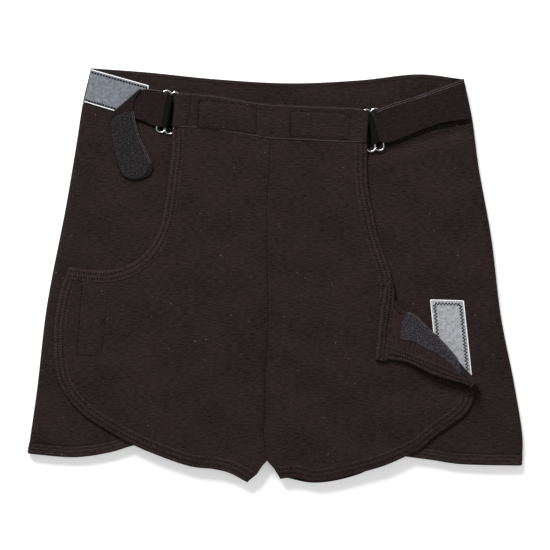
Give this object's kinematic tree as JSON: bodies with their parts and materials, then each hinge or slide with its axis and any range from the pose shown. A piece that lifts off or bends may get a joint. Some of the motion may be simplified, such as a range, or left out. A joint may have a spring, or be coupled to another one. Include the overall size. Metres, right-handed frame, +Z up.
{
  "type": "side-opening adaptive shorts",
  "caption": "Jersey shorts laid flat on their back, with side flaps that fasten with hook-and-loop patches and waist straps that run through wire sliders.",
  "frame": {"origin": "centre of the bounding box's underside, where the back of the shorts lies on the floor", "axes": "+Z up through the flat cloth from back to front, +Y towards the waist, +X across to the side whose strap is fastened"},
  "size_m": [0.4957, 0.4147, 0.0251],
  "materials": {
    "jersey": "matt knitted jersey",
    "edging": "matt coverstitched edging",
    "webbing": "matt double jersey strap",
    "hook_tape": "fuzzy hook tape",
    "loop_tape": "brushed loop tape",
    "metal": "bright plated wire"
  },
  "bodies": {
    "shorts": {"back_panel_left": "jersey", "back_panel_right": "jersey", "back_waistband_outer": "jersey", "back_waistband_inner": "jersey", "crotch_inseam": "jersey", "left_side_panel": "jersey", "right_side_panel": "jersey", "front_panel_left": "jersey", "front_panel_right": "jersey", "front_waistband": "jersey", "left_leg_hem": "edging", "right_leg_hem": "edging", "left_opening_binding": "edging", "right_opening_binding": "edging", "left_front_hem": "edging", "right_front_hem": "edging", "left_waist_strap": "webbing", "right_waist_strap": "webbing", "left_waistband_patch": "webbing", "right_waistband_patch": "webbing", "left_keeper_loop": "webbing", "right_keeper_loop": "webbing", "left_side_loop_patch": "loop_tape", "right_side_loop_patch": "loop_tape", "left_waist_loop_patch": "loop_tape", "right_waist_loop_patch": "loop_tape"},
    "left_flap": {"left_flap": "jersey", "left_flap_binding": "edging", "left_flap_hook_patch": "hook_tape"},
    "right_flap": {"right_flap": "jersey", "right_flap_binding": "edging", "right_flap_hook_patch": "hook_tape"},
    "left_slider": {"left_slider": "metal", "left_strap_loop": "webbing"},
    "left_strap": {"left_strap": "webbing"},
    "left_strap_tail": {"left_strap_tail": "webbing", "left_strap_hook_tape": "hook_tape"},
    "right_slider": {"right_slider": "metal", "right_strap_loop": "webbing"},
    "right_strap": {"right_strap": "webbing", "right_strap_hook_tape": "hook_tape"}
  },
  "joints": [
    {"name": "left_flap_fold", "type": "hinge", "parent": "shorts", "child": "left_flap", "pos_m": [-0.109, 0.075, 0.0156], "axis": [0.3564, 0.9343, 0], "range_deg": [0, 165]},
    {"name": "right_flap_fold", "type": "hinge", "parent": "shorts", "child": "right_flap", "pos_m": [0.11675, -0.025, 0.01545], "axis": [-0.6783, 0.7341, -0.0322], "range_deg": [0, 175]},
    {"name": "left_slider_tilt", "type": "hinge", "parent": "shorts", "child": "left_slider", "pos_m": [-0.09894, 0.16127, 0.01175], "axis": [0.1805, 0.9836, 0], "range_deg": [0, 20]},
    {"name": "left_strap_lift", "type": "hinge", "parent": "left_slider", "child": "left_strap", "pos_m": [-0.1164, 0.165, 0.0152], "axis": [0, 1, 0], "range_deg": [0, 110]},
    {"name": "left_strap_unfold", "type": "hinge", "parent": "left_strap", "child": "left_strap_tail", "pos_m": [-0.13425, 0.185, 0.0149], "axis": [-0.7593, -0.6508, 0], "range_deg": [0, 170]},
    {"name": "right_slider_tilt", "type": "hinge", "parent": "shorts", "child": "right_slider", "pos_m": [0.08932, 0.14392, 0.01175], "axis": [0.1271, -0.9919, 0], "range_deg": [0, 20]},
    {"name": "right_strap_peel", "type": "hinge", "parent": "right_slider", "child": "right_strap", "pos_m": [0.11015, 0.14659, 0.0152], "axis": [0.1271, -0.9919, 0], "range_deg": [0, 150]}
  ]
}
